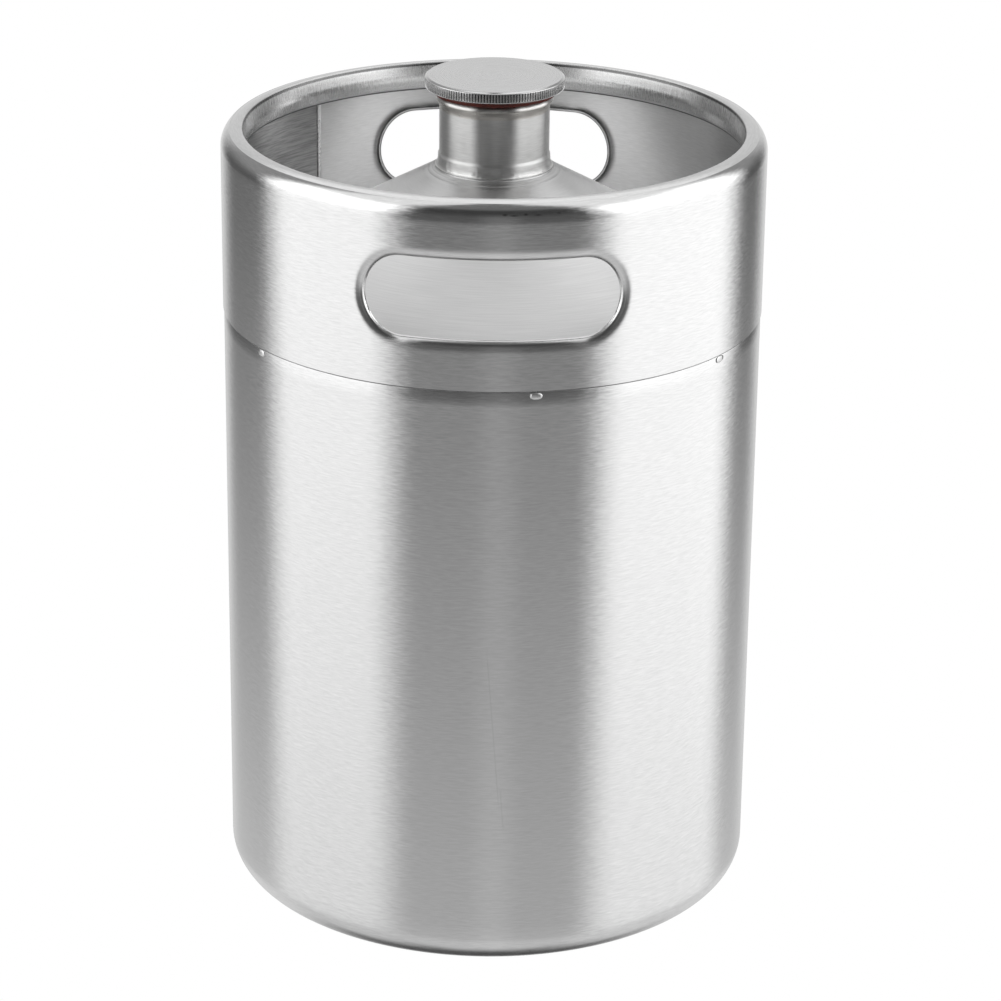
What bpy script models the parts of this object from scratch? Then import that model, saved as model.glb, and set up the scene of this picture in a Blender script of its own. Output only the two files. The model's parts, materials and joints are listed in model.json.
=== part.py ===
"""Five-litre mini keg: a drawn can, a coned shoulder with a threaded neck, a carrying collar, a screw cap.

Metres, +Z up. The origin is on the keg's axis, on the surface that it stands on. The front handle
slot faces -Y, and an angle round the keg is measured from the front towards +X.
"""

import math

import bmesh
import bpy
from mathutils import Matrix

MM = 0.001

# Overall size
KEG_RADIUS = 86.0 * MM  # outside of the collar
RIM_TOP = 253.0 * MM  # top of the rolled rim

# Sheet and clearances
SHEET = 0.8 * MM  # can, shoulder and collar
LAP_GAP = 0.2 * MM  # between the collar and what it is pushed over
TOUCH_GAP = 0.25 * MM  # between pieces that meet face to face
BUTT_GAP = 1.6 * MM  # between two edges that a ring weld joins

# Can
BODY_STEP = 0.3 * MM  # the can is this much smaller than the collar
BASE_CORNER = 10.0 * MM  # outside radius where the wall turns into the base
FOOT_WIDTH = 5.0 * MM  # flat ring that the keg stands on
DISH_HEIGHT = 4.0 * MM  # the base's panel is pushed up this much
DISH_BEND = 3.0 * MM
DISH_CROWN = 1.5 * MM  # the panel's middle is this much higher than its edge
JOGGLE_HEIGHT = 1.2 * MM  # the wall steps in over this height, just below the collar
LIP_HEIGHT = 3.6 * MM  # the stepped-in lip stands this far inside the collar

# Shoulder
SHOULDER_ANGLE = 28.8  # degrees above the horizontal
KNUCKLE_RADIUS = 6.0 * MM
SKIRT_HEIGHT = 0.3 * MM  # straight skirt under the knuckle

# Collar
COLLAR_HEIGHT = 58.6 * MM
RIM_BEND = 5.6 * MM  # outer bend of the rolled rim
LIP_BEND = 2.15 * MM  # inner bend of the rolled rim
LIP_DROP = 3.25 * MM  # straight stretch below the inner bend
LIP_FLARE = 1.05 * MM  # the rim's edge turns back out by this much
LIP_FLARE_HEIGHT = 3.8 * MM
SLOT_HEIGHT = 24.9 * MM  # clear height of a handle slot
SLOT_LENGTH = 80.9 * MM  # clear length, along the sheet
SLOT_DROP = 30.3 * MM  # middle of the slot below the rim's top
SLOT_BEND = 3.1 * MM  # the slot's edge is turned inward over this radius
SEAM_ANGLE = -136.8  # degrees

# Welds
SEAM_WIDTH = 1.3 * MM
SEAM_THICKNESS = 0.6 * MM
TACK_WIDTH = 3.6 * MM
TACK_HEIGHT = 2.2 * MM
TACK_PROUD = 0.5 * MM
TACK_ANGLES = (-117.0, -55.9, 9.0, 54.9, 116.0, 171.0)  # degrees, set by hand on the real thing
BEAD_PROUD = 0.1 * MM

# Neck
NECK_RADIUS = 17.35 * MM
NECK_HEIGHT = 24.1 * MM
NECK_WALL = 1.45 * MM  # from its outside to the root of its thread
NECK_LIP_FLARE = 1.1 * MM  # the lip is this much larger than the neck
NECK_LIP_EDGE = 0.5 * MM  # rounding of the lip
NECK_LIP_DEPTH = 1.2 * MM  # straight outside of the lip
NECK_FLARE_HEIGHT = 3.0 * MM
NECK_BASE_FLARE = 1.25 * MM  # and the base is
NECK_BASE_THICKNESS = 1.3 * MM
NECK_FILLET_HEIGHT = 3.4 * MM
BORE_CHAMFER = 0.4 * MM

# Thread, right-handed
THREAD_PITCH = 3.0 * MM
THREAD_DEPTH = 0.9 * MM
THREAD_GAP = 0.3 * MM  # radial clearance, crest to root
THREAD_TURNS = 2.0  # of the neck's ridge
THREAD_START = 0.9 * MM  # plain bore between the lip and the first ridge
THREAD_ROOT_SHARE = 0.6  # width of a ridge at its root, as a share of the pitch
THREAD_CREST_SHARE = 0.3
THREAD_SINK = 0.3 * MM  # a ridge's root is sunk in the wall by this much

# Cap
CAP_OVERHANG = 3.45 * MM  # past the neck's lip
CAP_BAND = 2.8 * MM  # height of the knurled band
CAP_CHAMFER_HEIGHT = 0.8 * MM
CAP_CHAMFER_WIDTH = 0.6 * MM
CAP_UNDERCUT = 0.4 * MM  # chamfer below the band
PLUG_WALL = 2.2 * MM
PLUG_END = 0.5 * MM  # plain end below the plug's ridge
PLUG_FLOOR = 1.2 * MM  # the plug's hollow reaches this far up into the disc
GASKET_OVERHANG = 1.05 * MM  # past the neck's lip
GASKET_THICKNESS = 1.8 * MM
GASKET_ROUND = 0.7 * MM

# Steps of a turn or of an arc
SHELL_STEPS = 48
NECK_STEPS = 40
BEND_STEPS = 3
RIM_STEPS = 4
BEAD_SIDES = 6
SLOT_MIDDLE_STEPS = 3  # half of a slot's straight stretch
SLOT_END_STEPS = 5
PLAIN_STEPS = 16  # sheet between the two slots

# Worked out from the sizes above
collar_bottom = RIM_TOP - COLLAR_HEIGHT
slot_middle = RIM_TOP - SLOT_DROP
body_radius = KEG_RADIUS - BODY_STEP
facet_depth = KEG_RADIUS * (1 - math.cos(math.pi / SHELL_STEPS))  # a flat facet inside its circle
lip_radius = KEG_RADIUS - SHEET - LAP_GAP - facet_depth
lip_top = collar_bottom + LIP_HEIGHT
skirt_bottom = lip_top + BUTT_GAP
shoulder_slope = math.tan(math.radians(SHOULDER_ANGLE))
knuckle_angle = 90.0 - SHOULDER_ANGLE
knuckle_centre = (lip_radius - KNUCKLE_RADIUS, skirt_bottom + SKIRT_HEIGHT)
neck_lip_radius = NECK_RADIUS + NECK_LIP_FLARE
neck_base_radius = NECK_RADIUS + NECK_BASE_FLARE
bore_radius = NECK_RADIUS - NECK_WALL  # root of the neck's thread
shoulder_hole = neck_base_radius + BUTT_GAP
slot_end = SLOT_HEIGHT / 2 + SLOT_BEND  # radius of the bend line at a slot's end
slot_straight = (SLOT_LENGTH - SLOT_HEIGHT) / 2  # half the straight stretch


def shoulder_height(radius):
    """Height of the shoulder's outer face where the cone has this radius."""
    turn = math.radians(knuckle_angle)
    foot_radius = knuckle_centre[0] + KNUCKLE_RADIUS * math.cos(turn)
    foot_height = knuckle_centre[1] + KNUCKLE_RADIUS * math.sin(turn)
    return foot_height + shoulder_slope * (foot_radius - radius)


neck_bottom = shoulder_height(neck_base_radius) - NECK_BASE_THICKNESS / 2
neck_top = neck_bottom + NECK_HEIGHT
ridge_root = THREAD_ROOT_SHARE * THREAD_PITCH
ridge_crest = THREAD_CREST_SHARE * THREAD_PITCH
neck_ridge_start = -THREAD_START - ridge_root / 2 - THREAD_TURNS * THREAD_PITCH  # below the neck's top
plug_ridge_start = neck_ridge_start + THREAD_PITCH / 2
plug_turns = THREAD_TURNS - 0.25
plug_radius = bore_radius - THREAD_DEPTH - THREAD_GAP
plug_bottom = plug_ridge_start - ridge_root / 2 - PLUG_END
cap_bottom = TOUCH_GAP + GASKET_THICKNESS + TOUCH_GAP  # above the neck's top
gasket_radius = neck_lip_radius + GASKET_OVERHANG
cap_radius = neck_lip_radius + CAP_OVERHANG


def clear_scene():
    for found in list(bpy.data.objects):
        bpy.data.objects.remove(found, do_unlink=True)


def new_collection(name):
    collection = bpy.data.collections.new(name)
    bpy.context.scene.collection.children.link(collection)
    return collection


def new_material(name, colour, roughness, metallic):
    material = bpy.data.materials.new(name)
    material.use_nodes = True
    shader = material.node_tree.nodes["Principled BSDF"]
    shader.inputs["Base Color"].default_value = (*colour, 1.0)
    shader.inputs["Roughness"].default_value = roughness
    shader.inputs["Metallic"].default_value = metallic
    material.diffuse_color = (*colour, 1.0)
    return material


def new_empty(name, parent, location):
    empty = bpy.data.objects.new(name, None)
    empty.parent = parent
    empty.location = location
    keg.objects.link(empty)
    return empty


def new_part(name, mesh, material, parent):
    part = bpy.data.objects.new(name, mesh)
    part.data.materials.append(material)
    part.parent = parent
    keg.objects.link(part)
    return part


def mesh_of(name, shape):
    """Ends a bmesh and gives its mesh, smooth but for its sharp edges."""
    mesh = bpy.data.meshes.new(name)
    shape.to_mesh(mesh)
    shape.free()
    mesh.shade_smooth()
    mesh.set_sharp_from_angle(angle=math.radians(40))
    return mesh


def arc(centre, radius, start, end, steps=BEND_STEPS):
    """Points of an arc in the plane of radius and height; angles in degrees, from outward to up."""
    turns = [math.radians(start + (end - start) * step / steps) for step in range(steps + 1)]
    return [(centre[0] + radius * math.cos(a), centre[1] + radius * math.sin(a)) for a in turns]


def profile_mesh(name, points, closed):
    """A line of points in the XZ plane, which a Screw modifier turns about Z."""
    shape = bmesh.new()
    corners = [shape.verts.new((radius, 0.0, height)) for radius, height in points]
    for first, second in zip(corners, corners[1:]):
        shape.edges.new((first, second))
    if closed:
        shape.edges.new((corners[-1], corners[0]))
    mesh = bpy.data.meshes.new(name)
    shape.to_mesh(mesh)
    shape.free()
    return mesh


def turned(name, points, closed, steps, material, parent):
    """A turned piece; its profile runs down its outer side."""
    part = new_part(name, profile_mesh(name, points, closed), material, parent)
    screw = part.modifiers.new("Turn", "SCREW")
    screw.steps = steps
    screw.render_steps = steps
    screw.use_smooth_shade = True
    screw.use_merge_vertices = True
    screw.merge_threshold = 0.01 * MM
    return part


def add_sheet(part):
    """Gives an outer face the sheet's thickness, inward."""
    wall = part.modifiers.new("Sheet", "SOLIDIFY")
    wall.thickness = SHEET
    wall.offset = -1.0
    wall.use_even_offset = True


def bead_profile(radius, height, half_width, half_height):
    """A ring bead's oval section."""
    turns = [-math.tau * step / BEAD_SIDES for step in range(BEAD_SIDES)]
    return [(radius + half_width * math.cos(a), height + half_height * math.sin(a)) for a in turns]


def make_body_shell():
    joggle_start = collar_bottom - JOGGLE_HEIGHT
    joggle = []
    for step in range(BEND_STEPS + 1):
        share = step / BEND_STEPS
        ease = (1 - math.cos(math.pi * share)) / 2
        radius = body_radius + (lip_radius - body_radius) * ease
        joggle.append((radius, joggle_start + JOGGLE_HEIGHT * share))
    foot_outside = body_radius - BASE_CORNER
    foot_inside = foot_outside - FOOT_WIDTH
    panel = foot_inside - 2 * DISH_BEND
    points = [(lip_radius, lip_top)]
    points += joggle[::-1]
    points += arc((foot_outside, BASE_CORNER), BASE_CORNER, 0, -90, steps=RIM_STEPS + 1)
    points += [(foot_inside, 0.0)]
    points += [(foot_inside - DISH_BEND, DISH_HEIGHT * 0.5)]
    points += [(panel, DISH_HEIGHT), (panel / 2, DISH_HEIGHT + DISH_CROWN * 0.75)]
    points += [(0.0, DISH_HEIGHT + DISH_CROWN)]
    add_sheet(turned("body_shell", points, False, SHELL_STEPS, body_steel, root))


def make_shoulder():
    points = [(shoulder_hole, shoulder_height(shoulder_hole))]
    points += arc(knuckle_centre, KNUCKLE_RADIUS, knuckle_angle, 0)
    points += [(lip_radius, skirt_bottom)]
    add_sheet(turned("shoulder", points, False, SHELL_STEPS, shoulder_steel, root))


def make_ring_welds():
    half_width = SHEET / 2 + BEAD_PROUD / 2
    half_height = BUTT_GAP / 2 - TOUCH_GAP
    radius = lip_radius - SHEET / 2
    height = lip_top + BUTT_GAP / 2
    points = bead_profile(radius, height, half_width, half_height)
    turned("shoulder_weld", points, True, SHELL_STEPS, weld_steel, root)
    radius = neck_base_radius + BUTT_GAP / 2
    height = shoulder_height(radius) - SHEET / 4
    points = bead_profile(radius, height, BUTT_GAP / 2 - TOUCH_GAP, SHEET)
    turned("neck_weld", points, True, NECK_STEPS, weld_steel, root)


def column_angles():
    """Angles of the collar sheet's columns, from the seam once round to the seam."""
    middle = [slot_straight * step / SLOT_MIDDLE_STEPS for step in range(SLOT_MIDDLE_STEPS)]
    turns = [math.radians(90 * step / SLOT_END_STEPS) for step in range(SLOT_END_STEPS + 1)]
    one_side = middle + [slot_straight + slot_end * math.sin(turn) for turn in turns]
    slot = [-distance / KEG_RADIUS for distance in one_side[:0:-1]]
    slot += [distance / KEG_RADIUS for distance in one_side]
    gap = math.pi - 2 * slot[-1]
    plain = [slot[-1] + gap * step / PLAIN_STEPS for step in range(1, PLAIN_STEPS)]
    seam = math.radians(SEAM_ANGLE)
    around = [angle + turn for turn in (0.0, math.pi) for angle in slot + plain]
    around = [seam + (angle - seam) % math.tau for angle in around]
    return [seam] + sorted(around) + [seam + math.tau]


def from_slot(along):
    """Distance along the sheet from the middle of the nearer slot."""
    half_turn = math.pi * KEG_RADIUS
    return (along + half_turn / 2) % half_turn - half_turn / 2


def slot_half_height(along):
    """Half the height between a slot's bend lines, and 0 beside the slot."""
    past = max(abs(from_slot(along)) - slot_straight, 0.0)
    return math.sqrt(max(slot_end**2 - past**2, 0.0))


def add_half_sheet(shape, angles, upper):
    """The sheet above or below the slots' middle line: X along the sheet, Y inward, Z up."""
    columns = len(angles) - 1
    made = bmesh.ops.create_grid(shape, x_segments=columns, y_segments=1, size=1.0)
    for corner in made["verts"]:
        column = round((corner.co.x + 1.0) / 2.0 * columns)
        along = angles[column] * KEG_RADIUS
        if upper == (corner.co.y > 0):
            height = RIM_TOP - RIM_BEND if upper else collar_bottom
        else:
            height = slot_middle + slot_half_height(along) * (1 if upper else -1)
        corner.co = (along, 0.0, height)


def turn_in_slot_edges(shape):
    """Draws each slot's edge inward round its bend, towards the slot's middle line."""
    reach = slot_straight + slot_end + TOUCH_GAP
    edges = []
    for edge in shape.edges:
        near = all(abs(from_slot(corner.co.x)) < reach for corner in edge.verts)
        inside = all(abs(corner.co.z - slot_middle) < slot_end + TOUCH_GAP for corner in edge.verts)
        if edge.is_boundary and near and inside:
            edges.append(edge)
    for step in range(1, BEND_STEPS + 1):
        before = math.radians(90 * (step - 1) / BEND_STEPS)
        after = math.radians(90 * step / BEND_STEPS)
        across = SLOT_BEND * (math.sin(after) - math.sin(before))
        inward = SLOT_BEND * (math.cos(before) - math.cos(after))
        made = bmesh.ops.extrude_edge_only(shape, edges=edges)["geom"]
        edges = [item for item in made if isinstance(item, bmesh.types.BMEdge) and item.is_boundary]
        for corner in {corner for edge in edges for corner in edge.verts}:
            distance = from_slot(corner.co.x)
            target = max(-slot_straight, min(slot_straight, distance))
            offset_x = target - distance
            offset_z = slot_middle - corner.co.z
            length = math.hypot(offset_x, offset_z)
            corner.co.x += across * offset_x / length
            corner.co.z += across * offset_z / length
            corner.co.y += inward


def roll_rim(shape):
    """Carries the sheet's top edge over the rolled rim and down its inner lip."""
    outline = arc((-RIM_BEND, RIM_TOP - RIM_BEND), RIM_BEND, 0, 90, steps=RIM_STEPS)[1:]
    outline += arc((-RIM_BEND, RIM_TOP - LIP_BEND), LIP_BEND, 90, 180)[1:]
    inner, height = outline[-1]
    outline += [(inner, height - LIP_DROP)]
    outline += [(inner + LIP_FLARE, height - LIP_DROP - LIP_FLARE_HEIGHT)]
    wall_top = RIM_TOP - RIM_BEND - 0.01 * MM
    edges = [e for e in shape.edges if e.is_boundary and all(v.co.z > wall_top for v in e.verts)]
    for radius, height in outline:
        made = bmesh.ops.extrude_edge_only(shape, edges=edges)["geom"]
        edges = [item for item in made if isinstance(item, bmesh.types.BMEdge)]
        corners = {item for item in made if isinstance(item, bmesh.types.BMVert)}
        edges = [edge for edge in edges if all(corner in corners for corner in edge.verts)]
        for corner in corners:
            corner.co.y = -radius
            corner.co.z = height


def make_collar():
    shape = bmesh.new()
    angles = column_angles()
    add_half_sheet(shape, angles, upper=False)
    add_half_sheet(shape, angles, upper=True)
    bmesh.ops.remove_doubles(shape, verts=shape.verts, dist=0.001 * MM)
    turn_in_slot_edges(shape)
    roll_rim(shape)
    for corner in shape.verts:
        angle = corner.co.x / KEG_RADIUS
        radius = KEG_RADIUS - corner.co.y
        corner.co.x = radius * math.sin(angle)
        corner.co.y = -radius * math.cos(angle)
    bmesh.ops.remove_doubles(shape, verts=shape.verts, dist=0.001 * MM)
    add_sheet(new_part("collar", mesh_of("collar", shape), collar_steel, root))


def make_collar_seam_weld():
    bottom = skirt_bottom + 2 * KNUCKLE_RADIUS
    top = RIM_TOP - RIM_BEND - SHEET
    shape = bmesh.new()
    bmesh.ops.create_cone(
        shape, cap_ends=True, segments=10, radius1=1.0, radius2=1.0, depth=top - bottom
    )
    for corner in shape.verts:
        corner.co.x *= SEAM_WIDTH / 2
        corner.co.y *= SEAM_THICKNESS / 2
    seam = new_part("collar_seam_weld", mesh_of("collar_seam_weld", shape), weld_steel, root)
    radius = KEG_RADIUS - SHEET - TOUCH_GAP - SEAM_THICKNESS / 2
    place_round(seam, radius, (top + bottom) / 2, SEAM_ANGLE)


def place_round(part, radius, height, degrees):
    """Puts a piece at an angle round the keg, its own -Y facing outward."""
    angle = math.radians(degrees)
    part.location = (radius * math.sin(angle), -radius * math.cos(angle), height)
    part.rotation_euler = (0.0, 0.0, angle)


def make_tack_welds():
    """Small beads on the can, just under the collar's lower edge; each has a flat back."""
    shape = bmesh.new()
    bmesh.ops.create_uvsphere(shape, u_segments=10, v_segments=6, radius=1.0)
    for corner in shape.verts:
        corner.co.x *= TACK_WIDTH / 2
        corner.co.y *= TACK_PROUD
        corner.co.z *= TACK_HEIGHT / 2
    everything = list(shape.verts) + list(shape.edges) + list(shape.faces)
    cut = bmesh.ops.bisect_plane(
        shape, geom=everything, plane_co=(0.0, 0.02 * MM, 0.0), plane_no=(0.0, 1.0, 0.0), clear_outer=True
    )
    rim = [item for item in cut["geom_cut"] if isinstance(item, bmesh.types.BMEdge)]
    bmesh.ops.edgeloop_fill(shape, edges=rim)
    bmesh.ops.recalc_face_normals(shape, faces=shape.faces)
    mesh = mesh_of("tack_weld", shape)
    height = collar_bottom - TOUCH_GAP - TACK_HEIGHT / 2
    for number, degrees in enumerate(TACK_ANGLES, start=1):
        tack = new_part(f"tack_weld_{number}", mesh, weld_steel, root)
        place_round(tack, body_radius + TOUCH_GAP, height, degrees)


def thread_ridge(name, root_radius, crest_radius, start, turns, parent):
    """A helical ridge, its section a trapezium from its root to its crest, to be joined to a wall."""
    sunk = THREAD_SINK if root_radius < crest_radius else -THREAD_SINK
    section = [
        (root_radius - sunk, -ridge_root / 2),
        (root_radius - sunk, ridge_root / 2),
        (crest_radius, ridge_crest / 2),
        (crest_radius, -ridge_crest / 2),
    ]
    shape = bmesh.new()
    corners = [shape.verts.new((radius, 0.0, start + height)) for radius, height in section]
    face = shape.faces.new(corners)
    half_step = Matrix.Rotation(math.pi / NECK_STEPS, 3, "Z")  # keeps its edges off the wall's own
    bmesh.ops.rotate(shape, verts=corners, cent=(0.0, 0.0, 0.0), matrix=half_step)
    steps = round(NECK_STEPS * turns)
    bmesh.ops.spin(
        shape,
        geom=[face, *face.edges, *face.verts],
        cent=(0.0, 0.0, 0.0),
        axis=(0.0, 0.0, 1.0),
        dvec=(0.0, 0.0, THREAD_PITCH * turns / steps),
        angle=math.tau * turns,
        steps=steps,
    )
    bmesh.ops.recalc_face_normals(shape, faces=shape.faces)
    ridge = bpy.data.objects.new(name, mesh_of(name, shape))
    ridge.parent = parent
    ridge.hide_render = True
    ridge.display_type = "WIRE"
    helpers.objects.link(ridge)
    return ridge


def join_ridge(part, ridge):
    join = part.modifiers.new("Thread", "BOOLEAN")
    join.operation = "UNION"
    join.object = ridge


def make_neck():
    """The neck's own heights are below its top, where its empty stands."""
    flare_bottom = -NECK_LIP_DEPTH - NECK_FLARE_HEIGHT
    base_top = -NECK_HEIGHT + NECK_BASE_THICKNESS
    edge_centre = (neck_lip_radius - NECK_LIP_EDGE, -NECK_LIP_EDGE)
    points = [(bore_radius + BORE_CHAMFER, 0.0)]
    points += arc(edge_centre, NECK_LIP_EDGE, 90, 0, steps=2)
    points += [(neck_lip_radius, -NECK_LIP_DEPTH)]
    points += [(NECK_RADIUS + NECK_LIP_FLARE * 0.35, -NECK_LIP_DEPTH - NECK_FLARE_HEIGHT * 0.4)]
    points += [(NECK_RADIUS, flare_bottom)]
    points += [(NECK_RADIUS, base_top + NECK_FILLET_HEIGHT)]
    points += [(NECK_RADIUS + NECK_BASE_FLARE * 0.3, base_top + NECK_FILLET_HEIGHT * 0.3)]
    points += [(neck_base_radius, base_top), (neck_base_radius, -NECK_HEIGHT)]
    points += [(bore_radius, -NECK_HEIGHT), (bore_radius, -BORE_CHAMFER)]
    neck = turned("neck", points, True, NECK_STEPS, neck_steel, neck_mouth)
    crest = bore_radius - THREAD_DEPTH
    join_ridge(
        neck,
        thread_ridge("neck_ridge", bore_radius, crest, neck_ridge_start, THREAD_TURNS, neck_mouth),
    )


def make_cap_gasket():
    inner = plug_radius + THREAD_GAP
    bottom = TOUCH_GAP
    top = TOUCH_GAP + GASKET_THICKNESS
    edge = gasket_radius - GASKET_ROUND
    points = [(inner, top)]
    points += arc((edge, top - GASKET_ROUND), GASKET_ROUND, 90, 0, steps=2)
    points += arc((edge, bottom + GASKET_ROUND), GASKET_ROUND, 0, -90, steps=2)
    points += [(inner, bottom)]
    turned("cap_gasket", points, True, NECK_STEPS, gasket_rubber, cap_axis)


def make_screw_cap():
    """One turned piece: the knurled disc, and the hollow plug below it that carries the thread."""
    hollow = plug_radius - PLUG_WALL
    band_top = cap_bottom + CAP_BAND
    points = [(0.0, band_top + CAP_CHAMFER_HEIGHT)]
    points += [(cap_radius - CAP_CHAMFER_WIDTH, band_top + CAP_CHAMFER_HEIGHT)]
    points += [(cap_radius, band_top), (cap_radius, cap_bottom + CAP_UNDERCUT)]
    points += [(cap_radius - CAP_UNDERCUT, cap_bottom), (plug_radius, cap_bottom)]
    points += [(plug_radius, plug_bottom), (hollow, plug_bottom)]
    points += [(hollow, cap_bottom + PLUG_FLOOR), (0.0, cap_bottom + PLUG_FLOOR)]
    cap = turned("screw_cap", points, False, NECK_STEPS, cap_steel, cap_axis)
    crest = plug_radius + THREAD_DEPTH
    join_ridge(
        cap,
        thread_ridge("plug_ridge", plug_radius, crest, plug_ridge_start, plug_turns, cap_axis),
    )


clear_scene()
keg = new_collection("mini_keg")
helpers = new_collection("helpers")
body_steel = new_material("satin steel, can", (0.62, 0.62, 0.62), 0.32, 1.0)
collar_steel = new_material("satin steel, collar", (0.63, 0.63, 0.63), 0.3, 1.0)
shoulder_steel = new_material("sanded steel, shoulder", (0.58, 0.58, 0.58), 0.36, 1.0)
neck_steel = new_material("turned steel, neck", (0.6, 0.59, 0.58), 0.22, 1.0)
cap_steel = new_material("turned steel, cap", (0.64, 0.64, 0.64), 0.28, 1.0)
weld_steel = new_material("weld bead", (0.66, 0.65, 0.63), 0.25, 1.0)
gasket_rubber = new_material("silicone gasket", (0.14, 0.03, 0.02), 0.5, 0.0)
root = new_empty("keg", None, (0.0, 0.0, 0.0))
neck_mouth = new_empty("neck_mouth", root, (0.0, 0.0, neck_top))
cap_axis = new_empty("cap_axis", root, (0.0, 0.0, neck_top))
make_body_shell()
make_shoulder()
make_ring_welds()
make_collar()
make_collar_seam_weld()
make_tack_welds()
make_neck()
make_cap_gasket()
make_screw_cap()
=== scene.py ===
import json
import math

import bpy
import numpy as np
from mathutils import Matrix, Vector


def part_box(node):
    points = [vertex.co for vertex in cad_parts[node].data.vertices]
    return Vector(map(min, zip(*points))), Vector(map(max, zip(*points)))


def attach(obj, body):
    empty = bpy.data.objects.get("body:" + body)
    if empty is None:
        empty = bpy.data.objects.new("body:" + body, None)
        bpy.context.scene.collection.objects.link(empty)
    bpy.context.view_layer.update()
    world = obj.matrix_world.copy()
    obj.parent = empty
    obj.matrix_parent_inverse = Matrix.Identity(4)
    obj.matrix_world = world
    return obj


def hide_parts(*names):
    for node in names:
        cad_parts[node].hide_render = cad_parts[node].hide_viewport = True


# Five-litre mini keg in stainless steel: can, shoulder, neck, carrying collar, welds, gasket and screw cap.
# Metres, +Z up, the keg's axis on Z and the front handle slot facing -Y.
# Every piece is a surface on a numpy grid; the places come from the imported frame.

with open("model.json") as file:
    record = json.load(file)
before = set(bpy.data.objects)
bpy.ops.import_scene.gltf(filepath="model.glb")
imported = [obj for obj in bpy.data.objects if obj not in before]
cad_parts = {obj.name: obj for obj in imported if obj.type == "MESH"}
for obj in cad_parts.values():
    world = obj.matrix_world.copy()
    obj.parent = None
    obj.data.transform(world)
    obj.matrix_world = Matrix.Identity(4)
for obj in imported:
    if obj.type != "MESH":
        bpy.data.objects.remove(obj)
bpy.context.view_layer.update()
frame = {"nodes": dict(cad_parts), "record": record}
print("frame loaded,", len(frame["nodes"]), "nodes")

mm = 0.001
fullTurn = 2 * math.pi


def middleOf(node):
    low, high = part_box(node)
    return (low + high) / 2


def angleOf(node):
    # angle round the keg, from the front towards +X
    centre = middleOf(node)
    return math.atan2(centre.x, -centre.y)


def openingBox(name):
    found = [box for box in frame["record"]["physics"]["openings"] if box["name"] == name]
    return found[0]["box_m"]


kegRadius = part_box("collar")[1].x
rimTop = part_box("collar")[1].z
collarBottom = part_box("collar")[0].z
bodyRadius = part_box("body_shell")[1].x
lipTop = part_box("body_shell")[1].z
slotLow, slotHigh = openingBox("front_handle_slot")
slotMiddle = (slotLow[2] + slotHigh[2]) / 2
seamAngle = angleOf("collar_seam_weld")
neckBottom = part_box("neck")[0].z
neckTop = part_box("neck")[1].z
sheetThickness = 0.8 * mm


def arc(centreX, centreZ, radius, start, end, count):
    # points on a circle: centre plus radius times (cosine, sine), in degrees from outward to up
    turn = np.radians(np.linspace(start, end, count))
    return np.column_stack([centreX + radius * np.cos(turn), centreZ + radius * np.sin(turn)])


def line(first, last, count):
    # evenly spaced points from first to last
    share = np.linspace(0, 1, count)[:, None]
    return np.array(first) * (1 - share) + np.array(last) * share


def joined(*stretches):
    # one outline from several, its repeated points dropped
    points = np.vstack(stretches)
    step = np.linalg.norm(np.diff(points, axis=0), axis=1)
    return points[np.append(True, step > 1e-8)]


def outlineNormals(points):
    # unit normals on the right-hand side of an outline's direction of travel, and how far a mitre reaches
    step = np.diff(points, axis=0)
    step /= np.linalg.norm(step, axis=1)[:, None]
    side = np.column_stack([step[:, 1], -step[:, 0]])
    before = np.vstack([side[:1], side])
    after = np.vstack([side, side[-1:]])
    normal = before + after
    normal /= np.linalg.norm(normal, axis=1)[:, None]
    reach = 1 / np.maximum(np.sum(normal * before, axis=1), 0.5)
    return normal, reach


def roundedEnd(outer, inner, bulge, count=7):
    # half an oval from the outer face's end to the inner face's end, standing out by bulge
    middle = (outer + inner) / 2
    half = (outer - inner) / 2
    out = np.array([-half[1], half[0]])
    out *= bulge / np.linalg.norm(out)
    turn = np.linspace(0, math.pi, count)[1:-1, None]
    return middle + half * np.cos(turn) + out * np.sin(turn)


def sheetLoop(outer, thickness, startBulge=0.0, endBulge=0.0):
    # closed section of a bent sheet: its outer face, an end, its inner face back, and the other end
    normal, reach = outlineNormals(outer)
    inner = outer - normal * (reach * thickness)[:, None]
    inner[outer[:, 0] < 1e-9, 0] = 0.0  # a sheet that reaches the axis stays on it
    parts = [outer]
    if endBulge:
        parts.append(roundedEnd(outer[-1], inner[-1], endBulge))
    parts.append(inner[::-1])
    if startBulge:
        parts.append(roundedEnd(inner[0], outer[0], startBulge))
        parts.append(outer[:1])
    return np.vstack(parts)


def turnedGrid(section, columns, wobble=None):
    # a section turned about Z: (r sin a, -r cos a, z) for each angle a; wobble adds a length to r
    angle = np.linspace(0, fullTurn, columns + 1)[None, :]
    radius = section[:, 0][:, None] + (0 if wobble is None else wobble(angle, section[:, 1][:, None]))
    radius = np.where(section[:, 0][:, None] < 1e-9, 0.0, radius)
    height = np.repeat(section[:, 1][:, None], columns + 1, axis=1)
    points = np.stack([radius * np.sin(angle), -radius * np.cos(angle), height], axis=2)
    points[:, -1] = points[:, 0]
    return points


def gridFaces(rows, columns, start):
    # quads whose normal is the columns' direction crossed with the rows' direction
    first = start + np.arange(rows - 1)[:, None] * columns + np.arange(columns - 1)[None, :]
    quads = np.stack([first, first + 1, first + columns + 1, first + columns], axis=2)
    return quads.reshape(-1, 4)


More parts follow.
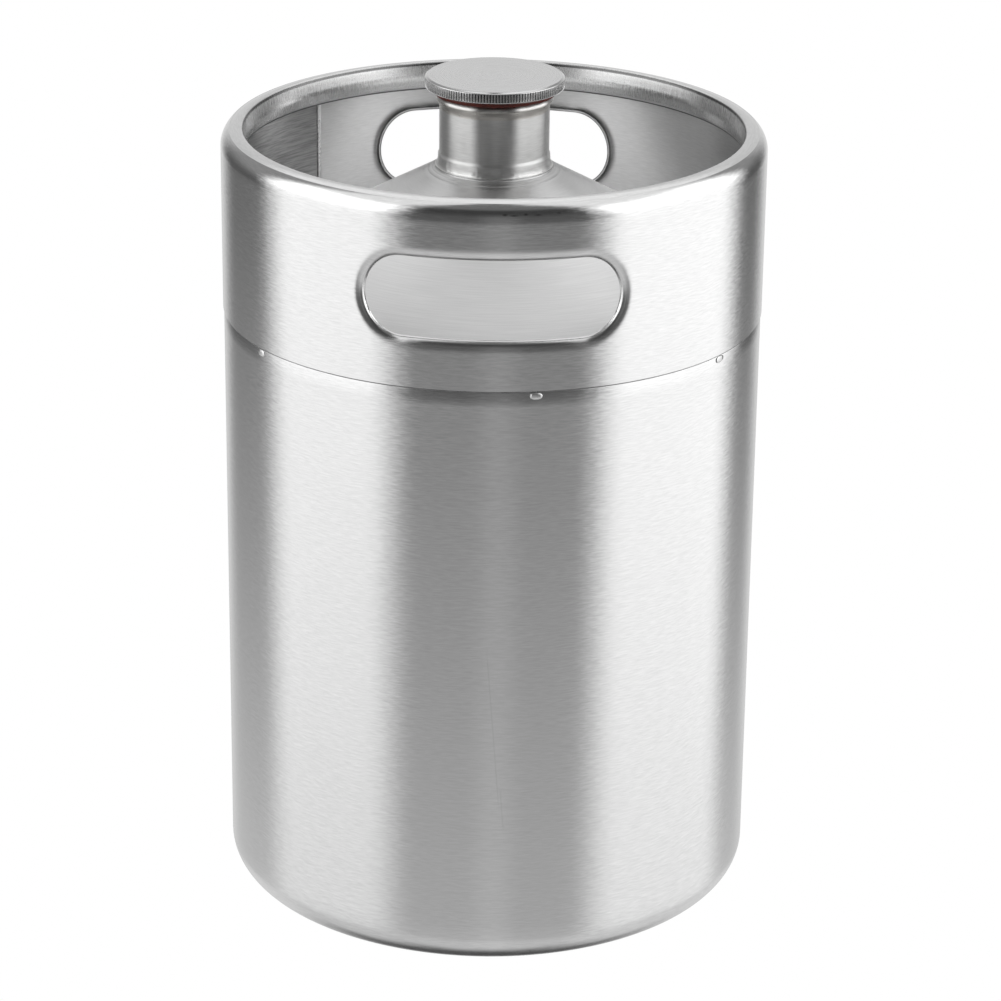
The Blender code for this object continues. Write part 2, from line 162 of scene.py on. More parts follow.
def welded(points, quads):
    # points at one place become one; a quad that lost a side becomes a triangle, and an empty one goes
    key = np.round(points * 1e7).astype(np.int64)
    _, first, index = np.unique(key, axis=0, return_index=True, return_inverse=True)
    quads = index.reshape(-1)[quads]
    keep = quads != np.roll(quads, 1, axis=1)
    keep[(quads[:, 0] == quads[:, 2]) | (quads[:, 1] == quads[:, 3])] = False
    sides = keep.sum(axis=1)
    whole = sides >= 3
    return points[first], quads[whole][keep[whole]], sides[whole]


def newPiece(name, grids, material, body, node, sharpAngle=50):
    # one object from one or more grids, set on its body in place of its CAD node
    points = np.vstack([grid.reshape(-1, 3) for grid in grids])
    starts = np.cumsum([0] + [grid.shape[0] * grid.shape[1] for grid in grids])
    quads = np.vstack([gridFaces(*grid.shape[:2], start) for grid, start in zip(grids, starts)])
    points, corners, sides = welded(points, quads)
    mesh = bpy.data.meshes.new(name)
    mesh.vertices.add(len(points))
    mesh.vertices.foreach_set("co", points.astype(np.float32).ravel())
    mesh.loops.add(len(corners))
    mesh.loops.foreach_set("vertex_index", corners.astype(np.int32))
    mesh.polygons.add(len(sides))
    mesh.polygons.foreach_set("loop_start", (np.cumsum(sides) - sides).astype(np.int32))
    mesh.update(calc_edges=True)
    mesh.validate()
    mesh.shade_smooth()
    mesh.set_sharp_from_angle(angle=math.radians(sharpAngle))
    mesh.materials.append(material)
    piece = bpy.data.objects.new(name, mesh)
    bpy.context.scene.collection.objects.link(piece)
    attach(piece, body)
    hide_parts(node)
    return piece


def linear(hexColour):
    # sRGB hex to linear: each channel c becomes ((c + 0.055) / 1.055) ^ 2.4, or c / 12.92 where dark
    channels = [int(hexColour[place:place + 2], 16) / 255 for place in (1, 3, 5)]
    return tuple(c / 12.92 if c < 0.04045 else ((c + 0.055) / 1.055) ** 2.4 for c in channels) + (1.0,)


def add(tree, kind, sockets=None, give=0, **options):
    # one node: its options, then a value or another node's output for each socket; gives the named output
    node = tree.nodes.new("ShaderNode" + kind)
    for name, value in options.items():
        setattr(node, name, value)
    for socket, value in (sockets or {}).items():
        if isinstance(value, bpy.types.NodeSocket):
            tree.links.new(value, node.inputs[socket])
        else:
            node.inputs[socket].default_value = value
    return node.outputs[give] if len(node.outputs) else node


def newMaterial(name):
    material = bpy.data.materials.new(name)
    material.use_nodes = True
    material.node_tree.nodes.clear()
    return material, material.node_tree


def stepped(tree, source, start, steps):
    # a value that eases from start to each step's own value as source goes from the step's low to its high
    level = start
    for low, high, value in steps:
        level = add(tree, "MapRange", {"Value": source, "From Min": low, "From Max": high, "To Min": level,
                    "To Max": value}, interpolation_type="SMOOTHSTEP")
    return level


def roundTheAxis(tree, coords, radius, length, width, shift):
    # place in noise space of a point (x, y, z) at distance r from the axis, so that one wave of noise is
    # length long round the axis and width across: (x / r, y / r) times radius / length, (z - 0.8 r) / width
    flat = add(tree, "VectorMath", {0: coords, 1: (1, 1, 0)}, operation="MULTIPLY")
    away = add(tree, "VectorMath", {0: flat}, operation="LENGTH", give="Value")
    height = add(tree, "SeparateXYZ", {0: coords}, give="Z")
    across = add(tree, "Math", {0: away, 1: -0.8, 2: height}, operation="MULTIPLY_ADD")
    across = add(tree, "Math", {0: across, 1: 1 / width, 2: shift}, operation="MULTIPLY_ADD")
    unit = add(tree, "VectorMath", {0: flat}, operation="NORMALIZE")
    unit = add(tree, "VectorMath", {0: unit, "Scale": radius / length}, operation="SCALE")
    return add(tree, "VectorMath", {0: unit, 1: add(tree, "CombineXYZ", {"Z": across})}, operation="ADD")


def streaks(tree, coords, radius, length, width, shift=0.0, detail=3.0):
    place = roundTheAxis(tree, coords, radius, length, width, shift)
    return add(tree, "TexNoise", {"Vector": place, "Scale": 1.0, "Detail": detail, "Roughness": 0.55})


def steel(name, look, marks=None):
    # Stainless steel, brushed or turned round the axis. Fine scratches lie round it, so a reflection is
    # drawn out across them and combed along them. Shade and roughness follow the scratches, and change
    # with height where the piece was polished. marks adds what only this piece has.
    material, tree = newMaterial(name)
    coords = add(tree, "TexCoord", give="Object")
    height = add(tree, "SeparateXYZ", {0: coords}, give="Z")
    fine = streaks(tree, coords, look["radius"], look["streakLength"], look["streakWidth"])
    comb = streaks(tree, coords, look["radius"], look["combLength"], look["streakWidth"] * 1.4, 40.0, 2.0)
    broad = add(tree, "TexNoise", {"Vector": coords, "Scale": 1 / look["blotch"], "Detail": 2.0})
    even = add(tree, "MapRange", {"Value": fine, "From Min": 0.3, "From Max": 0.7})
    shade = add(tree, "Mix", {0: even, 6: linear(look["dark"]), 7: linear(look["light"])}, give=2,
                data_type="RGBA")
    rough = stepped(tree, height, look["roughness"], look.get("polish", []))
    spread = add(tree, "MapRange", {"Value": fine, "From Min": 0.3, "From Max": 0.7,
                 "To Min": 1 - look["roughSpread"], "To Max": 1 + look["roughSpread"]})
    cloud = add(tree, "MapRange", {"Value": broad, "From Min": 0.35, "From Max": 0.65,
                "To Min": 1 - look["blotchShade"], "To Max": 1 + look["blotchShade"]})
    rough = add(tree, "Math", {0: rough, 1: spread}, operation="MULTIPLY")
    rough = add(tree, "Math", {0: rough, 1: cloud}, operation="MULTIPLY")
    normal = add(tree, "NewGeometry", give="Normal")
    tangent = add(tree, "Tangent", direction_type="RADIAL", axis="Z")
    swing = add(tree, "MapRange", {"Value": comb, "To Min": -look["comb"], "To Max": look["comb"]})
    normal = add(tree, "VectorMath", {0: tangent, 1: swing, 2: normal}, operation="MULTIPLY_ADD")
    normal = add(tree, "VectorMath", {0: normal}, operation="NORMALIZE")
    normal = add(tree, "Bump", {"Strength": 1.0, "Distance": look["groove"],
                 "Height": fine, "Normal": normal})
    if marks:
        shade, rough, normal = marks(tree, coords, height, shade, rough, normal)
    shader = add(tree, "BsdfPrincipled", {"Metallic": 1.0, "Anisotropic": look["anisotropy"],
                 "Anisotropic Rotation": 0.25, "Base Color": shade, "Roughness": rough, "Normal": normal,
                 "Tangent": tangent})
    add(tree, "OutputMaterial", {"Surface": shader})
    return material


can = {
    "cornerRadius": 10 * mm,  # where the wall turns into the base
    "footWidth": 5 * mm,
    "dishHeight": 4 * mm,  # the base's panel is pushed up
    "dishBend": 3 * mm,
    "dishCrown": 1.5 * mm,
    "joggle": 0.5 * mm,  # the wall steps in to pass behind the collar
    "columns": 288,
    "look": {"dark": "#C6C6C6", "light": "#D2D2D2", "roughness": 0.21, "roughSpread": 0.1, "anisotropy": 0.75,
             "radius": 86 * mm, "streakLength": 3.5 * mm, "streakWidth": 0.33 * mm, "combLength": 3 * mm,
             "comb": 0.035, "groove": 0.002 * mm, "blotch": 60 * mm, "blotchShade": 0.05},
    # hairline scratches: place round the can, height, lean, length, half width, and how dark
    "scratches": [(1.5, 84, -0.08, 62, 0.14, 0.09), (4.6, 56, -0.08, 16, 0.18, 0.08),
                  (-30, 70, 0.4, 14, 0.1, 0.05),
                  (118, 120, 0.3, 30, 0.12, 0.1), (-210, 60, -0.2, 40, 0.12, 0.1),
                  (60, 30, 1.2, 12, 0.1, 0.05)],
}


def hairlines(tree, coords, height, shade, scratches):
    # A scratch is a thin straight line on the unrolled can: its shade falls off with the distance
    # |along - start - lean * (height - middle)| and ends half its length from its middle.
    parts = add(tree, "SeparateXYZ", {0: coords}).node.outputs
    back = add(tree, "Math", {0: parts["Y"], 1: -1.0}, operation="MULTIPLY")
    along = add(tree, "Math", {0: add(tree, "Math", {0: parts["X"], 1: back}, operation="ARCTAN2"),
                1: bodyRadius}, operation="MULTIPLY")
    for start, middle, lean, length, halfWidth, depth in scratches:
        level = add(tree, "Math", {0: height, 1: middle * mm}, operation="SUBTRACT")
        place = add(tree, "Math", {0: level, 1: lean * -1.0, 2: along}, operation="MULTIPLY_ADD")
        place = add(tree, "Math", {0: place, 1: start * mm}, operation="SUBTRACT")
        line = add(tree, "MapRange", {"Value": add(tree, "Math", {0: place}, operation="ABSOLUTE"),
                   "From Min": 0.0, "From Max": halfWidth * mm * 2, "To Min": depth, "To Max": 0.0})
        line = add(tree, "MapRange", {"Value": add(tree, "Math", {0: level}, operation="ABSOLUTE"),
                   "From Min": 0.35 * length * mm, "From Max": 0.5 * length * mm,
                   "To Min": line, "To Max": 0.0})
        shade = add(tree, "Mix", {0: line, 6: shade, 7: linear("#303030")}, give=2, data_type="RGBA")
    return shade


def canMarks(tree, coords, height, shade, rough, normal):
    return hairlines(tree, coords, height, shade, can["scratches"]), rough, normal


def makeCan():
    foot = bodyRadius - can["cornerRadius"]
    footInside = foot - can["footWidth"]
    panel = footInside - 2 * can["dishBend"]
    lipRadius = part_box("shoulder")[1].x
    # crown: height falls with the square of the radius; dish wall: half a cosine wave
    crownRadius = np.linspace(0, panel, 14)
    crown = can["dishHeight"] + can["dishCrown"] * (1 - (crownRadius / panel) ** 2)
    share = np.linspace(0, 1, 14)
    wallRadius = panel + (footInside - panel) * share
    wall = can["dishHeight"] * (1 + np.cos(math.pi * share)) / 2
    # joggle: half a cosine wave in radius, most of it behind the collar's hem
    stepBottom = collarBottom - 0.3 * mm
    stepRadius = lipRadius + (bodyRadius - lipRadius) * (1 + np.cos(math.pi * share)) / 2
    outer = joined(
        np.column_stack([crownRadius, crown]),
        np.column_stack([wallRadius, wall]),
        arc(foot, can["cornerRadius"], can["cornerRadius"], -90, 0, 20),
        line((bodyRadius, can["cornerRadius"]), (bodyRadius, stepBottom), 40),
        np.column_stack([stepRadius, stepBottom + can["joggle"] * share]),
        line((lipRadius, stepBottom + can["joggle"]), (lipRadius, lipTop - 0.2 * mm), 4),
    )
    section = sheetLoop(outer, sheetThickness, endBulge=0.2 * mm)
    material = steel("brushed stainless steel, can", can["look"], canMarks)
    newPiece("can", [turnedGrid(section, can["columns"])], material, "keg", "body_shell")


shoulder = {
    "slope": 28.8,  # degrees above the horizontal
    "knuckle": 6 * mm,
    "columns": 240,
    # painted shade round the neck's foot, fading out with the distance from the axis
    "neckShade": "#7C7C7C",
    "neckShadeShare": 0.45,
    "neckShadeStart": 18 * mm,  # from the axis
    "neckShadeEnd": 44 * mm,
    "look": {"dark": "#D6D6D6", "light": "#E2E2E2", "roughness": 0.36, "roughSpread": 0.1, "anisotropy": 0.3,
             "radius": 50 * mm, "streakLength": 12 * mm, "streakWidth": 0.4 * mm, "combLength": 9 * mm,
             "comb": 0.03, "groove": 0.002 * mm, "blotch": 30 * mm, "blotchShade": 0.08},
}


def shoulderMarks(tree, coords, height, shade, rough, normal):
    # painted shade: the cone is darker round the neck, most at the weld, fading out away from the
    # axis; the cone is darker round the neck, most at the weld: drawn as a heat tint, which is a guess
    flat = add(tree, "VectorMath", {0: coords, 1: (1, 1, 0)}, operation="MULTIPLY")
    radius = add(tree, "VectorMath", {0: flat}, operation="LENGTH", give="Value")
    reach = stepped(tree, radius, shoulder["neckShadeShare"], [(shoulder["neckShadeStart"], shoulder["neckShadeEnd"], 0.0)])
    shade = add(tree, "Mix", {0: reach, 6: shade, 7: linear(shoulder["neckShade"])}, give=2, data_type="RGBA")
    return shade, rough, normal


def shoulderHeight(radius):
    # the cone's outer face: a straight line from the knuckle's end, rising inward at the slope's tangent
    low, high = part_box("shoulder")
    turn = math.radians(90 - shoulder["slope"])
    footRadius = high.x - shoulder["knuckle"] * (1 - math.cos(turn))
    footHeight = low.z + 0.3 * mm + shoulder["knuckle"] * math.sin(turn)
    return footHeight + math.tan(math.radians(shoulder["slope"])) * (footRadius - radius)


def makeShoulder():
    low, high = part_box("shoulder")
    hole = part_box("neck")[1].x + 1.6 * mm
    centre = (high.x - shoulder["knuckle"], low.z + 0.3 * mm)
    bend = arc(*centre, shoulder["knuckle"], 0, 90 - shoulder["slope"], 14)
    outer = joined(line((high.x, low.z), (high.x, centre[1]), 2), bend,
                   line(bend[-1], (hole, shoulderHeight(hole)), 30))
    section = sheetLoop(outer, sheetThickness, 0.2 * mm, 0.2 * mm)
    material = steel("sanded stainless steel, shoulder", shoulder["look"], shoulderMarks)
    newPiece("cone_shoulder", [turnedGrid(section, shoulder["columns"])], material, "keg",
             "shoulder")


collar = {
    "slotHeight": 24.9 * mm,  # clear opening
    "slotLength": 80.9 * mm,
    "kneeTravel": 4.4 * mm,  # the sheet starts to turn in this far outside the opening
    "kneePower": 2.5,
    "rimBend": 6.6 * mm,  # from the wall round to a faint crease
    "creaseTilt": 36,  # degrees that the bend still leans outward there
    "crownBend": 7.2 * mm,  # from the crease over the top
    "crownTilt": 24,
    "crease": 0.3 * mm,
    "lipBend": 1.3 * mm,
    "lipLean": 8.5,  # degrees that the lip goes on leaning in below its bend
    "lipDrop": 4.2 * mm,
    "lipFlare": 1.05 * mm,
    "lipFlareHeight": 3.9 * mm,
    "edgeRound": 0.25 * mm,
    "look": {"dark": "#C6C6C6", "light": "#D2D2D2", "roughness": 0.2, "roughSpread": 0.1, "anisotropy": 0.7,
             "radius": 86 * mm, "streakLength": 3.5 * mm, "streakWidth": 0.33 * mm, "combLength": 3 * mm,
             "comb": 0.035, "groove": 0.002 * mm, "blotch": 50 * mm, "blotchShade": 0.05,
             "polish": [(245 * mm, 248.5 * mm, 0.13)]},
    "lipRoughness": 0.27,
    "lipBottom": 9.2 * mm,  # below the rim's top
    # painted shadow along the lip's lower edge
    "lipEdgeShadow": "#2A2A2A",
    # a dark line at the start of the lip's bend; its cause is a guess
    "creaseShade": "#4A4A4A",  # painted shade: a dark line round the inside of the rim, at the start of the lip's bend
    "insideRoughness": 0.34,  # unbrushed
    # painted shade on the inside wall beside the seam weld, drawn in streaks
    "seamSideShade": "#5E5E5E",
    "shadeStreakLength": 9 * mm,
    "shadeStreakWidth": 0.5 * mm,
    # dark specks on the rim, laid out as the can's scratches; their cause is a guess
    "pits": [(3.4, 249.6, 0, 0.7, 0.5, 0.6), (6.1, 249.4, 0, 0.6, 0.8, 0.5), (9.6, 249.7, 0, 0.6, 0.4, 0.6),
             (13.2, 249.5, 0, 0.5, 0.7, 0.5), (19.5, 249.8, 0, 0.5, 0.4, 0.4)],
    "rubWidth": 0.4 * mm,  # upright marks on the rim
    "rubHeight": 5 * mm,
}


def collarMarks(tree, coords, height, shade, rough, normal):
    # inside: facing the axis, so the normal's share along the way out is negative
    flat = add(tree, "VectorMath", {0: coords, 1: (1, 1, 0)}, operation="MULTIPLY")
    out = add(tree, "VectorMath", {0: flat}, operation="NORMALIZE")
    facing = add(tree, "VectorMath", {0: add(tree, "NewGeometry", give="Normal"), 1: out},
                 operation="DOT_PRODUCT", give="Value")
    inward = add(tree, "MapRange", {"Value": facing, "From Min": 0.0, "From Max": -0.6})
    below = add(tree, "MapRange", {"Value": height, "From Min": rimTop - 8 * mm,
                "From Max": rimTop - 11 * mm})
    inside = add(tree, "Math", {0: inward, 1: below}, operation="MULTIPLY")
    rough = add(tree, "Mix", {"Factor": inward, 2: rough, 3: collar["lipRoughness"]})
    rough = add(tree, "Mix", {"Factor": inside, 2: rough, 3: collar["insideRoughness"]})
    # painted shadow: a dark line along the lip's lower edge, where the hollow under the rim lies in shade
    radius = add(tree, "VectorMath", {0: flat}, operation="LENGTH", give="Value")
    onLip = add(tree, "MapRange", {"Value": radius, "From Min": kegRadius - 3 * mm,
                "From Max": kegRadius - 4 * mm})
    edgeHeight = rimTop - collar["lipBottom"]
    edge = add(tree, "MapRange", {"Value": height, "From Min": edgeHeight + 0.5 * mm,
               "From Max": edgeHeight + 0.2 * mm,
               "To Max": 0.85})
    edge = add(tree, "Math", {0: edge, 1: onLip}, operation="MULTIPLY")
    shade = add(tree, "Mix", {0: edge, 6: shade, 7: linear(collar["lipEdgeShadow"])}, give=2, data_type="RGBA")
    # painted shade along the inside of the rim's top bend, on the lip facing the axis
    creaseShade = stepped(tree, height, 0.0, [(rimTop - 1.3 * mm, rimTop - 0.9 * mm, 0.9),
                                           (rimTop - 0.5 * mm, rimTop - 0.2 * mm, 0.0)])
    creaseShade = add(tree, "Math", {0: creaseShade, 1: onLip}, operation="MULTIPLY")
    creaseShade = add(tree, "Math", {0: creaseShade, 1: inward}, operation="MULTIPLY")
    shade = add(tree, "Mix", {0: creaseShade, 6: shade, 7: linear(collar["creaseShade"])}, give=2, data_type="RGBA")
    # painted shade: inside, the wall is darker on one side of the seam weld, drawn in streaks round the
    # axis; the steel is darker on one side of the seam weld, as if scrubbed there, which is a guess
    parts = add(tree, "SeparateXYZ", {0: coords}).node.outputs
    back = add(tree, "Math", {0: parts["Y"], 1: -1.0}, operation="MULTIPLY")
    angle = add(tree, "Math", {0: parts["X"], 1: back}, operation="ARCTAN2")
    seamShade = stepped(tree, angle, 0.0, [(seamAngle, seamAngle + 0.015, 1.0),
                    (seamAngle + 0.5, seamAngle + 1.2, 0.0)])
    shadeStreaks = streaks(tree, coords, kegRadius, collar["shadeStreakLength"], collar["shadeStreakWidth"], 20.0, 3.0)
    shadeStreaks = add(tree, "MapRange", {"Value": shadeStreaks, "From Min": 0.3, "From Max": 0.6,
                "To Min": 0.8, "To Max": 0.5})
    seamShade = add(tree, "Math", {0: add(tree, "Math", {0: seamShade, 1: inside}, operation="MULTIPLY"), 1: shadeStreaks},
                operation="MULTIPLY")
    shade = add(tree, "Mix", {0: seamShade, 6: shade, 7: linear(collar["seamSideShade"])}, give=2, data_type="RGBA")
    shade = hairlines(tree, coords, height, shade, collar["pits"])
    # upright marks: noise drawn out up and over the rim, only near its bend
    onRim = stepped(tree, height, 0.0, [(rimTop - 9 * mm, rimTop - 5 * mm, 1.0)])
    rub = streaks(tree, coords, kegRadius, collar["rubWidth"], collar["rubHeight"], 90.0, 1.0)
    rub = add(tree, "MapRange", {"Value": rub, "From Min": 0.3, "From Max": 0.7,
              "To Min": -0.12, "To Max": 0.12})
    rub = add(tree, "Math", {0: rub, 1: onRim}, operation="MULTIPLY")
    rub = add(tree, "Math", {0: rub, 1: 1.0}, operation="ADD")
    rough = add(tree, "Math", {0: rough, 1: rub}, operation="MULTIPLY")
    return shade, rough, normal


def kneeCurve(travel, steps=16):
    # the sheet's turned edge: its angle grows with a power of the way along, from 0 to 90 degrees
    way = np.linspace(0, 1, 1001)
    angle = math.pi / 2 * way ** collar["kneePower"]
    across = np.append(0, np.cumsum(np.cos((angle[1:] + angle[:-1]) / 2))) / 1000
    inward = np.append(0, np.cumsum(np.sin((angle[1:] + angle[:-1]) / 2))) / 1000
    size = travel / across[-1]
    pick = np.linspace(0, 1000, steps).astype(int)
    return across[pick] * size, inward[pick] * size, angle[pick]


def slotColumns(straight, endRadius):
    # distances along the sheet once round, close together at the slots' ends
    turn = np.radians(np.linspace(0, 90, 25))
    oneSide = np.append(np.linspace(0, straight, 19)[:-1], straight + endRadius * np.sin(turn))
    half = math.pi * kegRadius
    plain = np.linspace(oneSide[-1], half - oneSide[-1], 112)[1:-1]
    quarter = np.concatenate([oneSide, plain, half - oneSide[::-1]])
    around = np.unique(np.round(np.concatenate([quarter, quarter + half]), 9))
    return around[around < 2 * half + 1e-7]


def slotOutline(away, straight, endRadius):
    # half the height between a slot's bend lines at this distance from its middle, and 0 beside the slot
    past = np.maximum(np.abs(away) - straight, 0)
    height = np.sqrt(np.maximum(endRadius ** 2 - past ** 2, 0))
    return np.where(height < 0.02 * mm, 0, height)


def rolled(flat):
    # flat sheet (along, inward, up) rolled into a ring: angle is along / radius
    angle = flat[..., 0] / kegRadius
    radius = kegRadius - flat[..., 1]
    return np.stack([radius * np.sin(angle), -radius * np.cos(angle), flat[..., 2]], axis=-1)


def wallGrid(columns, bottom, top, depth, rows):
    # rows from bottom to top of the flat sheet; either may differ from column to column
    share = np.linspace(0, 1, rows)[:, None]
    height = bottom * (1 - share) + top * share
    along = np.repeat(columns[None, :], rows, axis=0)
    return np.stack([along, np.full_like(along, depth), height + 0 * along], axis=-1)


def slotEdgeGrid(centre, straight, endRadius, columns):
    # The turned-in edge all round a slot: its outline anticlockwise from outside, each point carried
    # towards the slot's middle line by the knee's curve: outer face in, rounded edge, inner face back out.
    around = columns - centre
    around = around[np.abs(around) < straight + endRadius + 0.001 * mm]
    height = slotOutline(around, straight, endRadius)
    along = np.concatenate([around[::-1], around[1:]])
    up = np.concatenate([height[::-1], -height[1:]])
    toCentre = np.column_stack([np.clip(along, -straight, straight) - along, -up])
    toCentre /= np.linalg.norm(toCentre, axis=1)[:, None]
    ring = np.column_stack([along + centre, up + slotMiddle])
    across, inward, angle = kneeCurve(collar["kneeTravel"])
    outer = np.column_stack([across, inward])
    inner = outer + sheetThickness * np.column_stack([-np.sin(angle), np.cos(angle)])
    path = np.vstack([outer, roundedEnd(outer[-1], inner[-1], -collar["edgeRound"]), inner[::-1]])
    place = ring[None] + path[:, 0][:, None, None] * toCentre[None]
    depth = np.repeat(path[:, 1][:, None], len(ring), axis=1)
    return np.stack([place[..., 0], depth, place[..., 1]], axis=-1)


def rimWallTop():
    # the wall ends where its outer bend, the crown and the top of the rim add up
    bend = collar["rimBend"] * math.sin(math.radians(90 - collar["creaseTilt"]))
    return rimTop - bend - collar["crownBend"] * (1 - math.cos(math.radians(collar["crownTilt"])))


def rimSection(wallTop):
    # outer face from the wall over the rolled rim to its flared edge, then back under it; (inward, up)
    outerBend = arc(-collar["rimBend"], wallTop, collar["rimBend"], 0, 90 - collar["creaseTilt"], 14)
    creaseEnd, creaseTop = outerBend[-1]
    crownStart = creaseEnd - collar["crease"]
    crownCentre = crownStart - collar["crownBend"] * math.sin(math.radians(collar["crownTilt"]))
    crown = arc(crownCentre, rimTop - collar["crownBend"], collar["crownBend"],
                90 - collar["crownTilt"], 90, 8)
    outerBend = np.vstack([outerBend, [(creaseEnd - collar["crease"] / 2, creaseTop - 0.05 * mm)], crown])
    innerBend = arc(crownCentre, rimTop - collar["lipBend"], collar["lipBend"],
                    90, 180 - collar["lipLean"], 11)
    bendEnd, height = innerBend[-1]
    inner = bendEnd - collar["lipDrop"] * math.tan(math.radians(collar["lipLean"]))
    drop = line(innerBend[-1], (inner, height - collar["lipDrop"]), 4)
    flareEnd = (inner + collar["lipFlare"], drop[-1][1] - collar["lipFlareHeight"])
    outer = joined(outerBend, innerBend, drop, line(drop[-1], flareEnd, 5))
    normal, reach = outlineNormals(outer)
    under = outer - normal * (reach * sheetThickness)[:, None]
    under[0] = (-sheetThickness, wallTop)
    edge = roundedEnd(outer[-1], under[-1], collar["edgeRound"])
    section = np.vstack([outer, edge, under[::-1]])
    return np.column_stack([-section[:, 0], section[:, 1]])


def makeCollar():
    straight = (collar["slotLength"] - collar["slotHeight"]) / 2
    endRadius = collar["slotHeight"] / 2 + collar["kneeTravel"]
    columns = slotColumns(straight, endRadius)
    half = math.pi * kegRadius
    outline = slotOutline((columns + half / 2) % half - half / 2, straight, endRadius)
    bottom = collarBottom + collar["edgeRound"]
    wallTop = rimWallTop()
    grids = []
    for depth, order in ((0.0, 1), (sheetThickness, -1)):
        grids.append(wallGrid(columns, bottom, slotMiddle - outline, depth, 12)[::order])
        grids.append(wallGrid(columns, slotMiddle + outline, wallTop, depth, 12)[::order])
    # the hem's rounding goes up into the sheet, so the hem ends edgeRound above collarBottom
    hem = np.array([(sheetThickness, bottom), (0.0, bottom)])
    hem = np.vstack([hem[:1], roundedEnd(hem[0], hem[1], collar["edgeRound"]), hem[1:]])
    for section in (rimSection(wallTop), hem):
        along = np.repeat(columns[None, :], len(section), axis=0)
        inwardAndUp = np.repeat(section[:, None, :], len(columns), axis=1)
        grids.append(np.concatenate([along[..., None], inwardAndUp], axis=-1))
    before = columns[columns > 1.5 * half] - 2 * half
    grids.append(slotEdgeGrid(0.0, straight, endRadius, np.append(before[:-1], columns[columns < half / 2])))
    grids.append(slotEdgeGrid(half, straight, endRadius, columns))
    material = steel("brushed stainless steel, collar", collar["look"], collarMarks)
    newPiece("carrying_collar", [rolled(grid) for grid in grids], material, "keg", "collar")


neck = {
    "lipFlare": 1.1 * mm,
    "lipEdge": 1.3 * mm,
    "lipDepth": 1.6 * mm,
    "flareHeight": 2.6 * mm,
    "baseFlare": 1.25 * mm,
    "baseThickness": 1.3 * mm,
    "filletHeight": 3.2 * mm,
    "wall": 1.45 * mm,
    "chamfer": 0.4 * mm,
    "columns": 160,
    "look": {"dark": "#CECECD", "light": "#DCDCDB", "roughness": 0.32, "roughSpread": 0.1, "anisotropy": 1.0,
             "radius": 17 * mm, "streakLength": 4 * mm, "streakWidth": 0.35 * mm, "combLength": 4 * mm,
             "comb": 0.04, "groove": 0.002 * mm, "blotch": 8 * mm, "blotchShade": 0.06,
             "polish": [(242 * mm, 244.5 * mm, 0.36), (258.2 * mm, 259.4 * mm, 0.3)]},
    "polishedTint": "#CBC7C1",  # faintly straw-coloured; its cause is a guess
}


def neckMarks(tree, coords, height, shade, rough, normal):
    # lip: a straw tint from 4.5 mm below the neck's top, weaker in the last 1.6 mm
    lip = stepped(tree, height, 0.0, [(neckTop - 4.5 * mm, neckTop - 4.1 * mm, 0.75),
                                      (neckTop - 1.6 * mm, neckTop - 0.8 * mm, 0.2)])
    shade = add(tree, "Mix", {0: lip, 6: shade, 7: linear(neck["polishedTint"])}, give=2, data_type="RGBA")
    # foot: dented, as if ground by hand
    foot = stepped(tree, height, 1.0, [(neckBottom + 3.5 * mm, neckBottom + 5.5 * mm, 0.0)])
    lumps = add(tree, "TexNoise", {"Vector": coords, "Scale": 260.0, "Detail": 2.0})
    depth = add(tree, "Math", {0: lumps, 1: foot}, operation="MULTIPLY")
    normal = add(tree, "Bump", {"Strength": 1.0, "Distance": 0.25 * mm, "Height": depth, "Normal": normal})
    return shade, rough, normal


thread = {
    "pitch": 3 * mm,
    "depth": 0.9 * mm,
    "root": 1.8 * mm,  # width of a ridge at its root
    "crest": 0.9 * mm,
    "startAngle": math.pi / 40 + math.pi / 2,  # where the first turn begins, from the front
    "firstRidge": 7.8 * mm,  # below the neck's top
}


def ridgeHeight(angle, height, start, turns):
    # how far a helical ridge stands: full within half its crest of the line z = start + pitch * turn,
    # falling to nothing at half its root, and fading in and out over a tenth of a turn at its ends
    turn = (angle - thread["startAngle"]) / fullTurn
    lap = np.round((height - start) / thread["pitch"] - turn)
    way = lap + turn
    offset = np.abs(height - start - way * thread["pitch"])
    side = (thread["root"] / 2 - offset) / (thread["root"] / 2 - thread["crest"] / 2)
    ends = np.minimum(way, turns - way) * 10
    return thread["depth"] * np.clip(side, 0, 1) * np.clip(ends, 0, 1)


